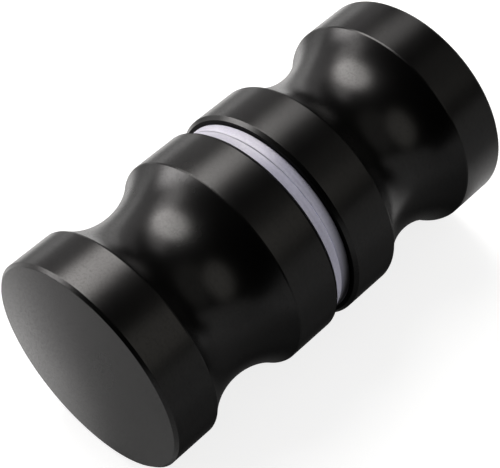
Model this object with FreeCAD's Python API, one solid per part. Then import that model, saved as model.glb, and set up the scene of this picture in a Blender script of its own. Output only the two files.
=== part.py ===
import FreeCAD, Part
import math
import os

from FreeCAD import Vector

# A pair of turned knobs for a glass shower door, one on each side, screwed together.
# Sizes are in millimetres. The pair turns about Y, the outside knob is at -Y, and the
# origin is on the axis in the plane where the gaskets meet, which is where the glass goes.

# knob, the same piece on both sides
knob_diameter = 30.0
head_length = 6.8
neck_length = 14.1
collar_length = 7.1
neck_diameter = 24.6
face_chamfer = 0.4
back_chamfer = 0.5
crease_break_length = 0.2
crease_break_depth = 0.07

# gasket
gasket_diameter = 28.0
gasket_thickness = 1.5
gasket_chamfer = 0.12

# stud, a fully threaded screw with a key socket in its inside end
stud_diameter = 8.0
stud_length = 30.0
stud_chamfer = 0.8
socket_width = 4.0
socket_depth = 4.0

# sleeve that lines the hole in the glass
sleeve_wall = 1.6
sleeve_length = 8.0
sleeve_chamfer = 0.3

# holes and fits
drill_point_angle = 118.0
thread_entry_chamfer = 0.5
thread_clearance = 0.05
sleeve_bore_clearance = 0.1
sleeve_hole_clearance = 0.15
sleeve_end_clearance = 0.3
stud_end_clearance = 1.5

# sizes that follow from those above
knob_radius = knob_diameter / 2
knob_length = collar_length + neck_length + head_length
stud_radius = stud_diameter / 2
sleeve_bore_radius = stud_radius + sleeve_bore_clearance
sleeve_radius = sleeve_bore_radius + sleeve_wall
sleeve_hole_radius = sleeve_radius + sleeve_hole_clearance
thread_hole_radius = stud_radius + thread_clearance
counterbore_depth = sleeve_length / 2 - gasket_thickness + sleeve_end_clearance
thread_hole_depth = stud_length / 2 - gasket_thickness + stud_end_clearance

axis_point = Vector(0, 0, 0)
axis_direction = Vector(0, 1, 0)


def at(radius, along):
    return Vector(radius, along, 0)


def line(start, end):
    return Part.LineSegment(start, end).toShape()


def arc(start, middle, end):
    return Part.Arc(start, middle, end).toShape()


def polyline(points):
    return [line(start, end) for start, end in zip(points, points[1:])]


def turned(edges):
    face = Part.Face(Part.Wire(edges))
    return face.revolve(axis_point, axis_direction, 360)


def turned_end_for_end(shape):
    copy = shape.copy()
    copy.rotate(axis_point, Vector(0, 0, 1), 180)
    return copy


def neck_arc(start):
    # one concave arc from crease to crease, which touches the neck diameter in the middle
    crease_radius = knob_radius - crease_break_depth
    return arc(at(crease_radius, start),
               at(neck_diameter / 2, start + neck_length / 2),
               at(crease_radius, start + neck_length))


def knob_blank():
    back = gasket_thickness
    neck_start = back + collar_length
    neck_end = neck_start + neck_length
    face = back + knob_length
    collar = polyline([
        at(0, back),
        at(knob_radius - back_chamfer, back),
        at(knob_radius, back + back_chamfer),
        at(knob_radius, neck_start - crease_break_length),
        at(knob_radius - crease_break_depth, neck_start),
    ])
    head = polyline([
        at(knob_radius - crease_break_depth, neck_end),
        at(knob_radius, neck_end + crease_break_length),
        at(knob_radius, face - face_chamfer),
        at(knob_radius - face_chamfer, face),
        at(0, face),
        at(0, back),
    ])
    return turned(collar + [neck_arc(neck_start)] + head)


def stud_hole():
    # counterbore for the sleeve, entry chamfer, threaded length and drill point
    back = gasket_thickness
    floor = back + counterbore_depth
    bottom = back + thread_hole_depth
    entry_radius = thread_hole_radius + thread_entry_chamfer
    point = thread_hole_radius / math.tan(math.radians(drill_point_angle / 2))
    return turned(polyline([
        at(0, back),
        at(sleeve_hole_radius, back),
        at(sleeve_hole_radius, floor),
        at(entry_radius, floor),
        at(thread_hole_radius, floor + thread_entry_chamfer),
        at(thread_hole_radius, bottom),
        at(0, bottom + point),
        at(0, back),
    ]))


def knob():
    return knob_blank().cut(stud_hole())


def gasket():
    edge = gasket_diameter / 2
    return turned(polyline([
        at(sleeve_hole_radius, 0),
        at(edge - gasket_chamfer, 0),
        at(edge, gasket_chamfer),
        at(edge, gasket_thickness - gasket_chamfer),
        at(edge - gasket_chamfer, gasket_thickness),
        at(sleeve_hole_radius, gasket_thickness),
        at(sleeve_hole_radius, 0),
    ]))


def key_socket():
    # hexagonal socket in the inside end, with the drill point at its bottom
    corner = socket_width / math.sqrt(3)
    end = stud_length / 2
    corners = [
        Vector(corner * math.cos(math.radians(60 * k)), end, corner * math.sin(math.radians(60 * k)))
        for k in range(7)
    ]
    hexagon = Part.Face(Part.Wire(polyline(corners)))
    prism = hexagon.extrude(Vector(0, -socket_depth, 0))
    pilot_radius = socket_width / 2
    point = pilot_radius / math.tan(math.radians(drill_point_angle / 2))
    pilot = turned(polyline([
        at(0, end),
        at(pilot_radius, end),
        at(pilot_radius, end - socket_depth),
        at(0, end - socket_depth - point),
        at(0, end),
    ]))
    return prism.fuse(pilot)


def threaded_stud():
    end = stud_length / 2
    rod = turned(polyline([
        at(0, -end),
        at(stud_radius - stud_chamfer, -end),
        at(stud_radius, -end + stud_chamfer),
        at(stud_radius, end - stud_chamfer),
        at(stud_radius - stud_chamfer, end),
        at(0, end),
        at(0, -end),
    ]))
    return rod.cut(key_socket())


def glass_sleeve():
    end = sleeve_length / 2
    return turned(polyline([
        at(sleeve_bore_radius, -end),
        at(sleeve_radius - sleeve_chamfer, -end),
        at(sleeve_radius, -end + sleeve_chamfer),
        at(sleeve_radius, end - sleeve_chamfer),
        at(sleeve_radius - sleeve_chamfer, end),
        at(sleeve_bore_radius, end),
        at(sleeve_bore_radius, -end),
    ]))


def main():
    os.makedirs("parts", exist_ok=True)
    nodes = {
        "inside_knob": knob(),
        "outside_knob": turned_end_for_end(knob()),
        "inside_gasket": gasket(),
        "outside_gasket": turned_end_for_end(gasket()),
        "threaded_stud": threaded_stud(),
        "glass_sleeve": glass_sleeve(),
    }
    for name, shape in nodes.items():
        shape.exportStep(f"parts/{name}.step")
        print(name, "solids", len(shape.Solids), "valid", shape.isValid(),
              "volume", round(shape.Volume, 2))


main()
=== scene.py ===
import math

import bmesh
import bpy
from mathutils import Euler, Matrix, Vector


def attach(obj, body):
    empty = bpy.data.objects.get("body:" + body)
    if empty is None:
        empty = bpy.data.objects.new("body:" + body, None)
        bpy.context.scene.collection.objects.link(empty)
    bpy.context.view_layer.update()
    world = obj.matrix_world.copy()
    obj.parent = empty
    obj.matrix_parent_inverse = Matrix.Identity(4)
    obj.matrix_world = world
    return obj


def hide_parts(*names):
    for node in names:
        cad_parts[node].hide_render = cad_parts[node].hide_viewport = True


# A back-to-back pair of turned shower door knobs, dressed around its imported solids.
# Lengths in the dictionaries are in millimetres, everything in Blender is in metres.

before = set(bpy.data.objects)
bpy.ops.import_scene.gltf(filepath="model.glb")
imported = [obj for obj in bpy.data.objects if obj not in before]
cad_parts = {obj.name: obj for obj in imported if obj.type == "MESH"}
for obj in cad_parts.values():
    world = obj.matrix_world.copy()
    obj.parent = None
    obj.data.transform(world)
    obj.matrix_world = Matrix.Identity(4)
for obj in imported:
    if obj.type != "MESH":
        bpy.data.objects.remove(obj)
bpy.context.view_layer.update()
print("frame loaded:", sorted(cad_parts))

mm = 0.001


# Node trees

class Value:  # a socket that can be used in sums
    def __init__(self, graph, socket):
        self.graph = graph
        self.socket = socket

    def __add__(self, other):
        return self.graph.maths("ADD", self, other)

    def __radd__(self, other):
        return self.graph.maths("ADD", other, self)

    def __sub__(self, other):
        return self.graph.maths("SUBTRACT", self, other)

    def __rsub__(self, other):
        return self.graph.maths("SUBTRACT", other, self)

    def __mul__(self, other):
        return self.graph.maths("MULTIPLY", self, other)

    def __rmul__(self, other):
        return self.graph.maths("MULTIPLY", other, self)

    def __truediv__(self, other):
        return self.graph.maths("DIVIDE", self, other)

    def __rtruediv__(self, other):
        return self.graph.maths("DIVIDE", other, self)


class Graph:
    def __init__(self, tree):
        self.tree = tree
        tree.nodes.clear()

    def node(self, kind, settings=None, inputs=None, output=0):
        made = self.tree.nodes.new(kind)
        for name, setting in (settings or {}).items():
            if name == "stops":
                self.setStops(made.color_ramp, setting)
            else:
                setattr(made, name, setting)
        for name, given in (inputs or {}).items():
            self.join(made.inputs[name], given)
        return Value(self, made.outputs[output]) if made.outputs else made

    def setStops(self, ramp, stops):
        while len(ramp.elements) < len(stops):
            ramp.elements.new(0.5)
        for element, (place, colour) in zip(ramp.elements, stops):
            element.position = place
            element.color = colour

    def join(self, socket, given):
        if isinstance(given, Value):
            self.tree.links.new(given.socket, socket)
        else:
            socket.default_value = given

    def maths(self, operation, *given):
        return self.node("ShaderNodeMath", {"operation": operation}, dict(enumerate(given)))

    def other(self, value, output):  # another output of the same node
        return Value(self, value.socket.node.outputs[output])

    def split(self, vector):  # its three parts
        parts = self.node("ShaderNodeSeparateXYZ", {}, {"Vector": vector})
        return parts, self.other(parts, "Y"), self.other(parts, "Z")

    def noise(self, place, scale, detail=2):
        return self.node("ShaderNodeTexNoise", {}, {"Vector": place, "Scale": scale, "Detail": detail})

    def fade(self, value, start, end, low=0.0, high=1.0, curve="SMOOTHSTEP"):
        # from low at start to high at end, and level outside them
        return self.node("ShaderNodeMapRange", {"interpolation_type": curve}, {
            "Value": value, "From Min": start, "From Max": end, "To Min": low, "To Max": high})

    def mix(self, share, colour, added, blend="MIX"):  # its sockets for colours are 6, 7 and 2
        return self.node("ShaderNodeMix", {"data_type": "RGBA", "blend_type": blend},
                         {0: share, 6: colour, 7: added}, 2)


# Turned pieces: an outline of radius and length along the axis, swept round by Geometry Nodes

def arcPoints(centre, radius, start, end, steps):
    points = []
    for k in range(steps + 1):
        angle = start + (end - start) * k / steps
        points.append((centre[0] + radius * math.cos(angle), centre[1] + radius * math.sin(angle)))
    return points


def roundCorners(points, radius, turnFrom=math.radians(12), mostReach=0.45, steps=4):
    rounded = [points[0]]
    for before, here, after in zip(points, points[1:], points[2:]):
        a = Vector(before) - Vector(here)
        b = Vector(after) - Vector(here)
        turn = math.pi - a.angle(b)
        reach = radius * math.tan(turn / 2)
        if turn < turnFrom or reach > mostReach * min(a.length, b.length):
            rounded.append(here)
            continue
        first = Vector(here) + a.normalized() * reach
        last = Vector(here) + b.normalized() * reach
        for k in range(steps + 1):  # a quadratic curve through the corner is round enough at this size
            t = k / steps
            point = first * (1 - t) ** 2 + Vector(here) * 2 * t * (1 - t) + last * t ** 2
            rounded.append(tuple(point))
    rounded.append(points[-1])
    return rounded


def holdEdges(points, hold, longest, longStraight=4):
    # points close to both ends of each long straight keep its shading flat
    held = [points[0]]
    for start, end in zip(points, points[1:]):
        length = (Vector(end) - Vector(start)).length
        if length > longStraight * hold:
            count = max(1, math.ceil(length / longest))
            shares = [hold / length] + [k / count for k in range(1, count)] + [1 - hold / length]
            for share in shares:
                held.append(tuple(Vector(start).lerp(Vector(end), share)))
        held.append(end)
    return held


mergeDistance = 1e-6    # metres
hexSide = math.pi / 3   # a hexagon's sides stand a sixth of a turn apart
crestFlat = 1 / 8       # shares of the pitch at which the thread is flat
rootFlat = 1 / 4


def latheTree():
    tree = bpy.data.node_groups.new("turnedPiece", "GeometryNodeTree")
    graph = Graph(tree)
    for name, kind in (("Outline", "NodeSocketObject"), ("Segments", "NodeSocketInt"),
                       ("Crest radius", "NodeSocketFloat"), ("Thread depth", "NodeSocketFloat"),
                       ("Thread pitch", "NodeSocketFloat"), ("Finish", "NodeSocketMaterial")):
        tree.interface.new_socket(name, in_out="INPUT", socket_type=kind)
    tree.interface.new_socket("Geometry", in_out="OUTPUT", socket_type="NodeSocketGeometry")

    given = graph.node("NodeGroupInput")
    segments = graph.other(given, "Segments")
    guide = graph.other(given, "Outline")
    outline = graph.node("GeometryNodeObjectInfo", {}, {"Object": guide}, "Geometry")
    rows = graph.node("GeometryNodeAttributeDomainSize", {}, {"Geometry": outline}, "Point Count")
    columns = segments + 1
    grid = graph.node("GeometryNodeMeshGrid", {}, {"Vertices X": rows, "Vertices Y": columns})

    index = graph.node("GeometryNodeInputIndex")
    row = graph.maths("FLOOR", (index + 0.5) / columns)
    turn = (index - row * columns) / segments
    angle = turn * (2 * math.pi)
    position = graph.node("GeometryNodeInputPosition")
    point = graph.node("GeometryNodeSampleIndex", {"data_type": "FLOAT_VECTOR"},
                       {"Geometry": outline, "Value": position, "Index": row})
    reach, along, flats = graph.split(point)  # flats is 1 where the piece is hexagonal, 0 where round

    side = graph.maths("COSINE", graph.maths("FLOORED_MODULO", angle, hexSide) - hexSide / 2)
    outer = reach * (1 + flats * (1 / side - 1))
    turns = graph.maths("FRACT", along / graph.other(given, "Thread pitch") - turn)
    wave = graph.maths("ABSOLUTE", turns - 0.5) * 2
    flank = graph.fade(wave, crestFlat, 1 - rootFlat, curve="LINEAR")
    thread = graph.other(given, "Crest radius") - graph.other(given, "Thread depth") * flank
    radius = graph.maths("MINIMUM", outer, thread)

    place = graph.node("ShaderNodeCombineXYZ", {}, {
        "X": radius * graph.maths("COSINE", angle), "Y": along, "Z": radius * graph.maths("SINE", angle)})
    turned = graph.node("GeometryNodeSetPosition", {}, {"Geometry": grid, "Position": place})
    closed = graph.node("GeometryNodeMergeByDistance", {}, {"Geometry": turned, "Distance": mergeDistance})
    smooth = graph.node("GeometryNodeSetShadeSmooth", {}, {"Geometry": closed})
    real = graph.node("GeometryNodeRealizeInstances", {}, {"Geometry": smooth})
    dressed = graph.node("GeometryNodeSetMaterial", {}, {
        "Geometry": real, "Material": graph.other(given, "Finish")})
    graph.node("NodeGroupOutput", {}, {"Geometry": dressed})
    return tree


lathe = latheTree()
noThread = {"crestRadius": 1000.0, "depth": 0.0, "pitch": 1.0}  # far outside any piece


def turnPiece(name, outline, finish, segments, thread=noThread, endForEnd=False):
    # outline: (radius, along, flats) in millimetres, from one end of the section to the other
    guide = bpy.data.meshes.new(name + "Outline")
    guide.from_pydata([(r * mm, y * mm, flats) for r, y, flats in outline],
                      [(k, k + 1) for k in range(len(outline) - 1)], [])
    guideObject = bpy.data.objects.new(name + "Outline", guide)
    blank = bpy.data.objects.new(name + "Blank", bpy.data.meshes.new(name + "Blank"))
    for made in (guideObject, blank):
        bpy.context.scene.collection.objects.link(made)
    modifier = blank.modifiers.new("turned", "NODES")
    modifier.node_group = lathe
    given = {"Outline": guideObject, "Segments": segments, "Crest radius": thread["crestRadius"] * mm,
             "Thread depth": thread["depth"] * mm, "Thread pitch": thread["pitch"] * mm, "Finish": finish}
    for item in lathe.interface.items_tree:
        if item.in_out == "INPUT":
            modifier[item.identifier] = given[item.name]
    bpy.context.view_layer.update()
    evaluated = blank.evaluated_get(bpy.context.evaluated_depsgraph_get())
    mesh = bpy.data.meshes.new_from_object(evaluated)
    mesh.name = name
    if endForEnd:
        mesh.transform(Matrix.Rotation(math.pi, 4, "Z"))
    pointOutwards(mesh)
    piece = bpy.data.objects.new(name, mesh)
    bpy.context.scene.collection.objects.link(piece)
    bpy.data.objects.remove(blank)
    bpy.data.objects.remove(guideObject)
    print("turned", name, "with", len(mesh.polygons), "faces")
    return piece


def pointOutwards(mesh):
    shape = bmesh.new()
    shape.from_mesh(mesh)
    if shape.calc_volume(signed=True) < 0:
        bmesh.ops.reverse_faces(shape, faces=shape.faces)
    shape.to_mesh(mesh)
    shape.free()


def withFlats(points, flats=0.0):  # round, unless they say otherwise
    return [(r, y, flats) for r, y in points]


# Finishes

def newMaterial(name):
    material = bpy.data.materials.new(name)
    material.use_nodes = True
    return material, Graph(material.node_tree)


def objectPlace(graph, stretch=(1, 1, 1)):
    place = graph.node("ShaderNodeTexCoord", {}, {}, "Object")
    return graph.node("ShaderNodeMapping", {}, {"Vector": place, "Scale": stretch})


def uneven(level, change, noise):
    return level + (noise - 0.5) * (2 * change)


satin = {
    "colour": (0.0006, 0.0006, 0.0006, 1),
    "rubbed": (0.0014, 0.0014, 0.0013, 1),
    "roughness": 0.26,
    "roughnessChange": 0.04,
    "ior": 1.5,
    "beadScale": 7000,      # blasted grain of about 0.15 mm
    "beadHeight": 0.0006,
    "speckScale": 3600,     # and dull specks of about 0.3 mm
    "speckDullness": 0.22,
    "speckShare": 0.8,      # round ones, the rest are drawn out along the rings
    "speckLevels": (0.46, 0.68),
    "ringScale": 2600,      # tool rings about 0.4 mm apart
    "ringHeight": 0.0005,
    "ringStretch": (0.02, 1, 0.02),
    "cloudScale": 130,
    "paintedShadeFaces": (-2.14, 1.56),     # between these places along the axis it is matt and almost without gloss: painted shade
    "mattColour": (0.0008, 0.0008, 0.0008, 1),
    "mattRubbed": (0.0016, 0.0016, 0.0016, 1),
    "mattRoughness": 0.6,
    "mattGloss": 0.08,
}


def blackSatin(values):
    material, graph = newMaterial("blackSatin")
    place = objectPlace(graph)
    ringPlace = objectPlace(graph, values["ringStretch"])
    clouds = graph.noise(place, values["cloudScale"], detail=3)
    grain = graph.noise(place, values["beadScale"])
    rings = graph.noise(ringPlace, values["ringScale"], detail=1)
    height = grain * values["beadHeight"] + rings * values["ringHeight"]
    normal = graph.node("ShaderNodeBump", {}, {"Height": height * mm, "Distance": 1.0, "Strength": 1.0})
    satinShader = graph.node("ShaderNodeBsdfPrincipled", {}, {
        "Base Color": graph.mix(clouds, values["colour"], values["rubbed"]),
        "Roughness": uneven(values["roughness"], values["roughnessChange"], clouds),
        "Normal": normal, "IOR": values["ior"]})
    # painted shade: the faces that meet the gaskets are made matt and almost without gloss, and show as a
    # dead black line where shade falls between the knobs and gaskets
    _, along, _ = graph.split(place)
    along = along / mm
    outsideEdge, insideEdge = values["paintedShadeFaces"]
    paintedShadeFaces = graph.maths("GREATER_THAN", along, outsideEdge) * graph.maths("LESS_THAN", along, insideEdge)
    matt = graph.node("ShaderNodeBsdfPrincipled", {}, {
        "Base Color": graph.mix(clouds, values["mattColour"], values["mattRubbed"]),
        "Roughness": values["mattRoughness"], "Specular IOR Level": values["mattGloss"]})
    specks = graph.noise(place, values["speckScale"])
    streaks = graph.noise(ringPlace, values["speckScale"], detail=1)
    speckled = specks * values["speckShare"] + streaks * (1 - values["speckShare"])
    dull = graph.fade(speckled, *values["speckLevels"], 0.0, values["speckDullness"], "LINEAR")
    both = graph.node("ShaderNodeMixShader", {}, {
        0: graph.maths("MAXIMUM", paintedShadeFaces, dull), 1: satinShader, 2: matt})
    graph.node("ShaderNodeOutputMaterial", {}, {"Surface": both})
    return material


vinyl = {
    "colour": (0.56, 0.55, 0.63, 1),
    "cloudy": (0.47, 0.46, 0.54, 1),
    "roughness": 0.32,
    "roughnessChange": 0.05,
    "ior": 1.46,
    "subsurface": 0.35,
    "subsurfaceReach": (1.2, 1.2, 1.44),
    "streakScale": 2200,
    "streakStretch": (0.05, 1, 0.05),
    "mottleScale": 3000,
    "streakShare": 0.6,     # of the cloudiness, the rest is mottle
    "cloudLevels": (0.36, 0.64),
    "inLevel": 0.95,        # painted shade: the inside gasket's colour against the outside one
    # painted light and shade in the gaskets' colour, in degrees round the axis: where each starts, is full,
    # starts to end and has ended, and how much it is
    "inShade": (-60.0, -20.0, -8.0, 70.0, 0.93),     # inside gasket
    "inShadeLean": 33.0,    # it lies this much further round for each millimetre away from the seam
    "inShadeMiddle": 0.75,
    "inTopLight": (78.0, 112.0, 140.0, 175.0, 0.16),
    "outLight": (-30.0, 5.0, 8.0, 45.0, 0.40),      # outside gasket
    "outTopShade": (88.0, 104.0, 122.0, 150.0, 0.09),
    "paintedDip": (40.0, 62.0, 76.0, 86.0, 0.19),       # painted shade on both
    # painted shade: a purple tint where the gaskets lie in shade
    "shadePurple": (-60.0, -20.0, 66.0, 100.0, 1.0),
    "shadePurpleTint": (0.965, 0.98, 1.05, 1),
    # painted shade along the seam high round the axis, and painted light on it lower down, lifting the
    # groove's own shade
    "seamShade": (62.0, 90.0, 140.0, 175.0, 0.88),
    "seamLight": 0.42,
    "seam": (0.05, 0.12),   # half width in millimetres
}


def clearVinyl(values):
    material, graph = newMaterial("clearVinyl")
    place = objectPlace(graph)
    streaks = graph.noise(objectPlace(graph, values["streakStretch"]), values["streakScale"])
    mottle = graph.noise(place, values["mottleScale"])
    across, along, up = graph.split(place)
    along = along / mm
    angle = graph.maths("ARCTAN2", up, across) * math.degrees(1)
    leaning = angle - (along - values["inShadeMiddle"]) * values["inShadeLean"]

    def around(start, full, ending, ended, amount, at=angle):
        return graph.fade(at, start, full) * graph.fade(at, ending, ended, amount, 0.0)

    # painted light and shade: the colour is scaled round the axis and along it, darker where the gaskets
    # lie in shade and lighter where light falls, and tinted purple in the shade
    inside = graph.maths("GREATER_THAN", along, 0)
    insidePaintedLight = values["inLevel"] - around(*values["inShade"], leaning) + around(*values["inTopLight"])
    outsidePaintedLight = 1 + around(*values["outLight"]) - around(*values["outTopShade"])
    share = outsidePaintedLight + (insidePaintedLight - outsidePaintedLight) * inside - around(*values["paintedDip"])
    seam = graph.fade(graph.maths("ABSOLUTE", along), *values["seam"], 1.0, 0.0)
    share = share * (1 + seam * (values["seamLight"] - around(*values["seamShade"])))
    clouds = streaks * values["streakShare"] + mottle * (1 - values["streakShare"])
    colour = graph.mix(graph.fade(clouds, *values["cloudLevels"]), values["colour"], values["cloudy"])
    colour = graph.node("ShaderNodeVectorMath", {"operation": "SCALE"}, {0: colour, "Scale": share})
    colour = graph.mix(around(*values["shadePurple"]), colour, values["shadePurpleTint"], "MULTIPLY")
    shader = graph.node("ShaderNodeBsdfPrincipled", {}, {
        "Base Color": colour, "IOR": values["ior"],
        "Roughness": uneven(values["roughness"], values["roughnessChange"], streaks),
        "Subsurface Weight": values["subsurface"],
        "Subsurface Radius": [reach * mm for reach in values["subsurfaceReach"]], "Subsurface Scale": 1.0})
    graph.node("ShaderNodeOutputMaterial", {}, {"Surface": shader})
    return material


zinc = {
    "colour": (0.60, 0.61, 0.63, 1),
    "worn": (0.46, 0.47, 0.49, 1),
    "roughness": 0.30,
    "roughnessChange": 0.1,
    "cloudScale": 900,
}


def platedSteel(values):
    material, graph = newMaterial("platedSteel")
    clouds = graph.noise(objectPlace(graph), values["cloudScale"], detail=4)
    shader = graph.node("ShaderNodeBsdfPrincipled", {}, {
        "Base Color": graph.mix(clouds, values["colour"], values["worn"]), "Metallic": 1.0,
        "Roughness": uneven(values["roughness"], values["roughnessChange"], clouds)})
    graph.node("ShaderNodeOutputMaterial", {}, {"Surface": shader})
    return material


sleevePlastic = {
    "colour": (0.88, 0.88, 0.91, 1),
    "roughness": 0.22,
    "roughnessChange": 0.05,
    "ior": 1.49,
    "transmission": 0.6,
    "streakScale": 1800,
    "streakStretch": (1, 0.05, 1),
}


def clearPlastic(values):
    material, graph = newMaterial("clearPlastic")
    streaks = graph.noise(objectPlace(graph, values["streakStretch"]), values["streakScale"])
    shader = graph.node("ShaderNodeBsdfPrincipled", {}, {
        "Base Color": values["colour"], "IOR": values["ior"], "Transmission Weight": values["transmission"],
        "Roughness": uneven(values["roughness"], values["roughnessChange"], streaks)})
    graph.node("ShaderNodeOutputMaterial", {}, {"Surface": shader})
    return material


blackFinish = blackSatin(satin)
vinylFinish = clearVinyl(vinyl)
zincFinish = platedSteel(zinc)
sleeveFinish = clearPlastic(sleevePlastic)
print("finishes made")


# Knobs

knob = {
    "radius": 15.0,
    "back": 1.5,            # the back face, one gasket away from the middle
    "collar": 7.1,
    "neck": 14.1,
    "head": 6.8,
    "neckRadius": 12.3,
    "creaseBreakLength": 0.2,
    "creaseBreakDepth": 0.07,
    "backChamfer": 0.5,
    "faceChamfer": 0.4,
    "edgeRadius": 0.05,
    "segments": 256,
    "neckSteps": 56,
    "hold": 0.06,           # from each edge to the first row of points beside it
    "longestStep": 3.0,     # between rows of points
}

bore = {
    "counterboreRadius": 5.85,
    "counterboreDepth": 2.8,
    "threadRadius": 4.05,
    "entryChamfer": 0.5,
    "depth": 15.0,
    "pointAngle": 118.0,
}


def neckOutline(values, start):
    # one concave arc from crease to crease
    half = values["neck"] / 2
    depth = values["radius"] - values["creaseBreakDepth"] - values["neckRadius"]
    arcRadius = (half ** 2 + depth ** 2) / (2 * depth)
    reach = math.asin(half / arcRadius)
    centre = (values["neckRadius"] + arcRadius, start + half)
    return arcPoints(centre, arcRadius, math.pi + reach, math.pi - reach, values["neckSteps"])


def knobOutline(values, hole):
    back = values["back"]
    radius = values["radius"]
    crease = values["creaseBreakLength"]
    neckStart = back + values["collar"]
    neckEnd = neckStart + values["neck"]
    face = neckEnd + values["head"]
    seat = back + hole["counterboreDepth"]
    bottom = back + hole["depth"]
    point = hole["threadRadius"] / math.tan(math.radians(hole["pointAngle"] / 2))
    points = [
        (0, bottom + point),
        (hole["threadRadius"], bottom),
        (hole["threadRadius"], seat + hole["entryChamfer"]),
        (hole["threadRadius"] + hole["entryChamfer"], seat),
        (hole["counterboreRadius"], seat),
        (hole["counterboreRadius"], back),
        (radius - values["backChamfer"], back),
        (radius, back + values["backChamfer"]),
        (radius, neckStart - crease),
    ]
    points += neckOutline(values, neckStart)
    points += [
        (radius, neckEnd + crease),
        (radius, face - values["faceChamfer"]),
        (radius - values["faceChamfer"], face),
        (0, face),
    ]
    points = roundCorners(points, values["edgeRadius"])
    return withFlats(holdEdges(points, values["hold"], values["longestStep"]))


def makeKnobs():
    outline = knobOutline(knob, bore)
    for name, node, endForEnd in (("insideKnobTurned", "inside_knob", False),
                                  ("outsideKnobTurned", "outside_knob", True)):
        piece = turnPiece(name, outline, blackFinish, knob["segments"], endForEnd=endForEnd)
        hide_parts(node)
        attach(piece, "root")


makeKnobs()


# Gaskets

gasket = {
    "radius": 14.0,
    "bore": 5.85,
    "thickness": 1.5,
    "edge": 0.12,           # chamfer
    "edgeRadius": 0.06,
    "segments": 256,
    "hold": 0.04,
    "longestStep": 2.5,
}


def makeGaskets():
    bite = gasket["edge"]
    points = [
        (gasket["bore"], 0),
        (gasket["radius"] - bite, 0),
        (gasket["radius"], bite),
        (gasket["radius"], gasket["thickness"] - bite),
        (gasket["radius"] - bite, gasket["thickness"]),
        (gasket["bore"], gasket["thickness"]),
        (gasket["bore"], 0),
    ]
    points = roundCorners(points, gasket["edgeRadius"])
    outline = withFlats(holdEdges(points, gasket["hold"], gasket["longestStep"]))
    for name, node, endForEnd in (("insideGasketRing", "inside_gasket", False),
                                  ("outsideGasketRing", "outside_gasket", True)):
        piece = turnPiece(name, outline, vinylFinish, gasket["segments"], endForEnd=endForEnd)
        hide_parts(node)
        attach(piece, "root")


makeGaskets()


# Stud, with the screw thread that the solid leaves out

stud = {
    "radius": 4.0,
    "length": 30.0,
    "chamfer": 0.8,
    "pitch": 1.25,
    "threadDepth": 0.68,
    "socket": 2.0,          # half of the width across flats
    "socketDepth": 4.0,
    "rowsPerPitch": 12,
    "segments": 96,
    "hold": 0.04,
}


def makeStud():
    end = stud["length"] / 2
    outer = [
        (0, -end),
        (stud["radius"] - stud["chamfer"], -end),
        (stud["radius"], -end + stud["chamfer"]),
        (stud["radius"], end - stud["chamfer"]),
        (stud["radius"] - stud["chamfer"], end),
    ]
    outline = withFlats(holdEdges(outer, stud["hold"], stud["pitch"] / stud["rowsPerPitch"]))
    bottom = end - stud["socketDepth"]
    point = stud["socket"] / math.tan(math.radians(bore["pointAngle"] / 2))
    socketSide = [(stud["socket"], end), (stud["socket"], end - stud["hold"]), (stud["socket"], bottom)]
    outline += withFlats(socketSide, 1.0)
    outline += withFlats([(stud["socket"], bottom), (0, bottom - point)])
    piece = turnPiece("studThreaded", outline, zincFinish, stud["segments"], thread={
        "crestRadius": stud["radius"], "depth": stud["threadDepth"], "pitch": stud["pitch"]})
    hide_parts("threaded_stud")
    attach(piece, "root")


makeStud()


# Sleeve

sleeve = {
    "boreRadius": 4.1,
    "radius": 5.7,
    "length": 8.0,
    "chamfer": 0.3,
    "edgeRadius": 0.05,
    "segments": 128,
    "hold": 0.05,
    "longestStep": 2.0,
}


def makeSleeve():
    end = sleeve["length"] / 2
    points = [
        (sleeve["boreRadius"], -end),
        (sleeve["radius"] - sleeve["chamfer"], -end),
        (sleeve["radius"], -end + sleeve["chamfer"]),
        (sleeve["radius"], end - sleeve["chamfer"]),
        (sleeve["radius"] - sleeve["chamfer"], end),
        (sleeve["boreRadius"], end),
        (sleeve["boreRadius"], -end),
    ]
    points = roundCorners(points, sleeve["edgeRadius"])
    outline = withFlats(holdEdges(points, sleeve["hold"], sleeve["longestStep"]))
    piece = turnPiece("sleeveTube", outline, sleeveFinish, sleeve["segments"])
    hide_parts("glass_sleeve")
    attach(piece, "root")


makeSleeve()
print("pieces made")


# Floor, background and lamps

floor = {
    "height": -15.0,
    "size": 4000.0,
    "colour": (0.42, 0.42, 0.42, 1),
    "glow": 0.78,           # what the camera sees besides the lit colour
}

sweep = {  # what the metal sees of the floor, painted by place: white on the left, ending in a painted shadow of the knobs
    "tint": (1.0, 0.985, 0.975, 1),
    # millimetres across, and the brightness there
    "levels": ((-150, 1.00), (-60, 0.31), (-42, 1.50), (-28, 0.60), (-15, 2.05), (-4, 0.93), (7, 0.09),
               (16, 0.025), (23, 0.08), (32, 0.125), (60, 0.27), (150, 0.25)),
    # below, where each change starts and is full, in millimetres along the axis unless it says across
    "front": -29.5,         # nearer the camera than this, the sweep falls back to the left
    "frontSlope": 2.67,
    "frontStep": 4.0,
    "frontShade": 0.33,     # and gets no darker than this
    "frontShadeReach": 1.5,
    "frontShadeBlend": 0.4,
    "away": (0.0, 80.0),    # it brightens with distance from the camera
    "awayGain": 1.18,
    "behind": (25.0, 31.0),     # past the inside knob it is white again, and fades to the right
    "behindTilt": 0.25,
    "behindAcross": (0.0, 8.0),
    "behindFade": (10.0, 60.0, 0.70, 0.03),     # across, and the brightness at each
    "end": (48.0, 95.0),    # then it stops, between two slanting edges
    "endLeft": (-30.0, 15.0),
    "endLeftSlope": 1.28,
    "endRight": (-40.0, 40.0),
    "endRightSlope": 0.8,
}


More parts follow.
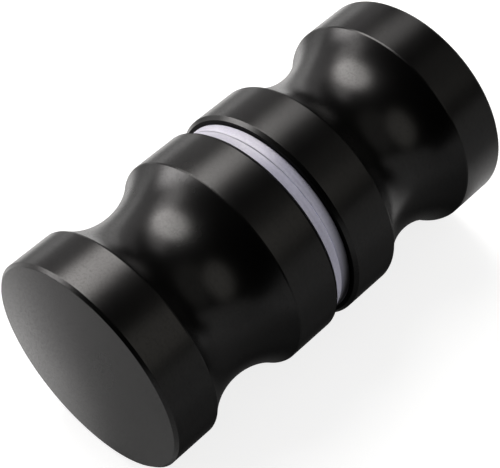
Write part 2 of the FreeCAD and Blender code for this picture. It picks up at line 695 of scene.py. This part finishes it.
def sweepBrightness(graph, values):
    across, along, _ = graph.split(graph.node("ShaderNodeTexCoord", {}, {}, "Object"))
    across = across / mm
    along = along / mm

    front = values["front"]
    fallenBack = graph.maths("MINIMUM", along - front, 0) * values["frontSlope"]
    step = graph.fade(along, front, front - values["frontStep"], 0.0, values["frontStep"])
    shifted = across - fallenBack - step
    first = values["levels"][0][0]
    width = values["levels"][-1][0] - first
    brightest = max(level for _, level in values["levels"])
    stops = [((x - first) / width, (level / brightest,) * 3 + (1,)) for x, level in values["levels"]]
    light = graph.node("ShaderNodeValToRGB", {"stops": stops}, {"Fac": (shifted - first) / width})
    light = light * brightest

    reach = values["frontShadeReach"]
    nearFront = graph.fade(along, front + reach, front - reach)
    light = graph.maths("SMOOTH_MAX", light, nearFront * values["frontShade"],
                        nearFront * values["frontShadeBlend"])
    light = light * graph.fade(along, *values["away"], 1.0, values["awayGain"])

    missing = graph.maths("MAXIMUM", graph.fade(across, *values["behindFade"]) - light, 0)
    behind = graph.fade(along - across * values["behindTilt"], *values["behind"])
    light = light + missing * behind * graph.fade(across, *values["behindAcross"])

    ended = graph.fade(along, *values["end"])
    ended = ended * graph.fade(along + across * values["endLeftSlope"], *values["endLeft"])
    ended = ended * graph.fade(along * values["endRightSlope"] - across, *values["endRight"])
    return light * (1 - ended)


def makeFloor():
    half = floor["size"] * mm / 2
    height = floor["height"] * mm
    corners = [(-half, -half, height), (half, -half, height), (half, half, height), (-half, half, height)]
    mesh = bpy.data.meshes.new("paleFloor")
    mesh.from_pydata(corners, [], [(0, 1, 2, 3)])
    plane = bpy.data.objects.new("paleFloor", mesh)
    bpy.context.scene.collection.objects.link(plane)
    material, graph = newMaterial("paleFloor")
    rays = graph.node("ShaderNodeLightPath")
    seen = graph.other(rays, "Is Camera Ray") + graph.other(rays, "Is Transmission Ray")
    lit = graph.node("ShaderNodeBsdfDiffuse", {}, {"Color": floor["colour"]})
    glow = graph.node("ShaderNodeEmission", {}, {"Strength": seen * floor["glow"]})
    bothSeen = graph.node("ShaderNodeAddShader", {}, {0: lit, 1: glow})
    # painted reflection: glossy rays see this glow set by place instead of the lit floor
    paintedReflection = graph.node("ShaderNodeEmission", {}, {
        "Color": sweep["tint"], "Strength": sweepBrightness(graph, sweep)})
    shader = graph.node("ShaderNodeMixShader", {}, {
        0: graph.other(rays, "Is Glossy Ray"), 1: bothSeen, 2: paintedReflection})
    graph.node("ShaderNodeOutputMaterial", {}, {"Surface": shader})
    mesh.materials.append(material)


studio = {
    "background": 1.0,
    "fill": 0.30,           # soft light from all round on matt surfaces, and none in reflections
}


def makeWorld():
    world = bpy.data.worlds.new("studio")
    bpy.context.scene.world = world
    world.use_nodes = True
    graph = Graph(world.node_tree)
    rays = graph.node("ShaderNodeLightPath")
    seen = graph.other(rays, "Is Camera Ray") + graph.other(rays, "Is Transmission Ray")
    others = 1 - graph.maths("MAXIMUM", seen, graph.other(rays, "Is Glossy Ray"))
    strength = seen * studio["background"] + others * studio["fill"]
    shader = graph.node("ShaderNodeBackground", {}, {"Color": (1, 1, 1, 1), "Strength": strength})
    graph.node("ShaderNodeOutputWorld", {}, {"Surface": shader})


lampDistance = 1500.0
lamps = {  # azimuth from +Y towards +X and elevation in degrees, even as a share of its reach
    "key": {"azimuth": -71, "elevation": 54, "size": (960, 1340), "brightness": 6.0, "even": 0.75,
            "colour": (1.0, 0.968, 0.94)},
    "keyWing": {"azimuth": -95, "elevation": 36, "size": (1430, 730), "brightness": 2.35, "even": 0.6,
                "colour": (1.0, 0.968, 0.95)},
    "keyEdge": {"azimuth": -60, "elevation": 46, "size": (1790, 780), "brightness": 1.3, "even": 0.6,
                "colour": (1.0, 0.968, 0.95)},
    "second": {"azimuth": -121, "elevation": 15, "size": (1520, 900), "brightness": 7.2, "even": 0.3,
               "colour": (1.0, 0.97, 0.96)},
    "right": {"azimuth": 71, "elevation": 41, "size": (1060, 1460), "brightness": 0.57, "even": 0.6,
              "colour": (1.0, 0.955, 0.88)},
    "rightWing": {"azimuth": 28, "elevation": 37, "size": (1290, 1600), "brightness": 0.17, "even": 0.6,
                  "colour": (1.0, 0.96, 0.90)},
    "lowLeft": {"azimuth": -68, "elevation": 12, "size": (2700, 670), "brightness": 0.45, "even": 0.6,
                "colour": (1.0, 0.97, 0.97)},
    "lowRight": {"azimuth": 61, "elevation": 1, "size": (2620, 930), "brightness": 0.32, "even": 0.6,
                 "colour": (1.0, 0.98, 0.95)},
}


def softEdges(lamp, even):
    # the cloth of a softbox is even up to a share of its reach, and fades out to its rim
    lamp.use_nodes = True
    graph = Graph(lamp.node_tree)
    across, up, _ = graph.split(graph.node("ShaderNodeNewGeometry", {}, {}, "Parametric"))
    across = across * 2 - 1
    up = up * 2 - 1
    reach = graph.maths("SQRT", across * across + up * up)
    shader = graph.node("ShaderNodeEmission", {}, {"Strength": graph.fade(reach, even, 1.0, 1.0, 0.0)})
    graph.node("ShaderNodeOutputLight", {}, {"Surface": shader})


def makeLamps():
    for name, values in lamps.items():
        azimuth = math.radians(values["azimuth"])
        elevation = math.radians(values["elevation"])
        towards = Vector((math.sin(azimuth) * math.cos(elevation), math.cos(azimuth) * math.cos(elevation),
                          math.sin(elevation)))
        lamp = bpy.data.lights.new(name, "AREA")
        lamp.shape = "RECTANGLE"
        lamp.size = values["size"][0] * mm
        lamp.size_y = values["size"][1] * mm
        lamp.energy = values["brightness"] * math.pi * lamp.size * lamp.size_y
        lamp.color = values["colour"]
        softEdges(lamp, values["even"])
        placed = bpy.data.objects.new(name, lamp)
        placed.location = towards * lampDistance * mm
        placed.rotation_euler = towards.to_track_quat("Z", "Y").to_euler()
        bpy.context.scene.collection.objects.link(placed)


makeFloor()
makeWorld()
makeLamps()
print("studio made")


# Camera, at the photograph's angle

view = {
    "lens": 126.4,          # focal length
    "sensorWidth": 36.0,
    "clip": (10.0, 20000.0),
    "azimuth": 43.26,
    "elevation": 51.67,
    "place": (92.87, -100.11, 170.98),
}


def makeCamera():
    camera = bpy.data.objects.new("camera", bpy.data.cameras.new("camera"))
    camera.data.lens = view["lens"]
    camera.data.sensor_width = view["sensorWidth"]
    camera.data.clip_start = view["clip"][0] * mm
    camera.data.clip_end = view["clip"][1] * mm
    camera.location = Vector(view["place"]) * mm
    camera.rotation_euler = Euler((math.radians(90 - view["elevation"]), 0, math.radians(view["azimuth"])))
    bpy.context.scene.collection.objects.link(camera)
    bpy.context.scene.camera = camera


makeCamera()
bpy.context.scene.view_settings.view_transform = "Standard"
